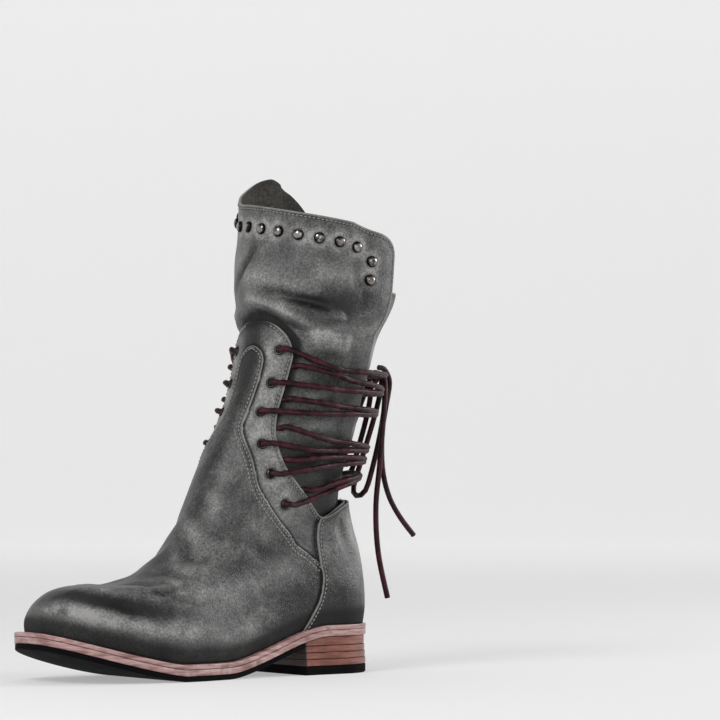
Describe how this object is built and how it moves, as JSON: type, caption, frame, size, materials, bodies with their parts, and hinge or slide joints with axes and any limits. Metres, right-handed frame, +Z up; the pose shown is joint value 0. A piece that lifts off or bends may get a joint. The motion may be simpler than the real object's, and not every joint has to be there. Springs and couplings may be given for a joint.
{
  "type": "lace-up boot",
  "caption": "Left mid-calf leather boot with a stacked heel, a folded studded collar and a lace that wraps round the back of the leg.",
  "frame": {"origin": "on the floor, under the middle of the boot's box without its free lace", "axes": "+X to the toe, +Y to the outer side of the left foot, +Z up"},
  "size_m": [0.3169, 0.1118, 0.3374],
  "materials": {
    "grey_leather": "distressed, burnished charcoal leather",
    "welt_leather": "waxed sole leather edge",
    "stacked_leather": "polished stacked heel leather",
    "black_rubber": "matt black",
    "insole_leather": "plain leather",
    "waxed_lace": "waxed round cord",
    "eyelet_metal": "dark gunmetal",
    "stud_metal": "dark antique, polished on top"
  },
  "bodies": {
    "root": {"upper": "grey_leather", "counter": "grey_leather", "shaft": "grey_leather", "gusset": "grey_leather", "welt": "welt_leather", "midsole": "welt_leather", "heel_lift_1": "stacked_leather", "heel_lift_2": "stacked_leather", "heel_lift_3": "stacked_leather", "heel_lift_4": "stacked_leather", "outsole": "black_rubber", "heel_top_piece": "black_rubber", "insole": "insole_leather", "eyelet_outer_1": "eyelet_metal", "eyelet_outer_2": "eyelet_metal", "eyelet_outer_3": "eyelet_metal", "eyelet_outer_4": "eyelet_metal", "eyelet_outer_5": "eyelet_metal", "eyelet_outer_6": "eyelet_metal", "eyelet_inner_1": "eyelet_metal", "eyelet_inner_2": "eyelet_metal", "eyelet_inner_3": "eyelet_metal", "eyelet_inner_4": "eyelet_metal", "eyelet_inner_5": "eyelet_metal", "eyelet_inner_6": "eyelet_metal", "stud_front": "stud_metal", "stud_outer_1": "stud_metal", "stud_outer_2": "stud_metal", "stud_outer_3": "stud_metal", "stud_outer_4": "stud_metal", "stud_outer_5": "stud_metal", "stud_outer_6": "stud_metal", "stud_outer_7": "stud_metal", "stud_outer_8": "stud_metal", "stud_inner_1": "stud_metal", "stud_inner_2": "stud_metal", "stud_inner_3": "stud_metal", "stud_inner_4": "stud_metal", "stud_inner_5": "stud_metal", "stud_inner_6": "stud_metal", "stud_inner_7": "stud_metal", "stud_inner_8": "stud_metal", "lace_cross_1": "waxed_lace", "lace_cross_2": "waxed_lace", "lace_cross_3": "waxed_lace", "lace_cross_4": "waxed_lace", "lace_cross_5": "waxed_lace", "lace_top_bar": "waxed_lace", "lace_knot": "waxed_lace", "lace_loop_outer": "waxed_lace", "lace_loop_inner": "waxed_lace", "lace_end_long": "waxed_lace", "lace_end_short": "waxed_lace"}
  },
  "joints": []
}
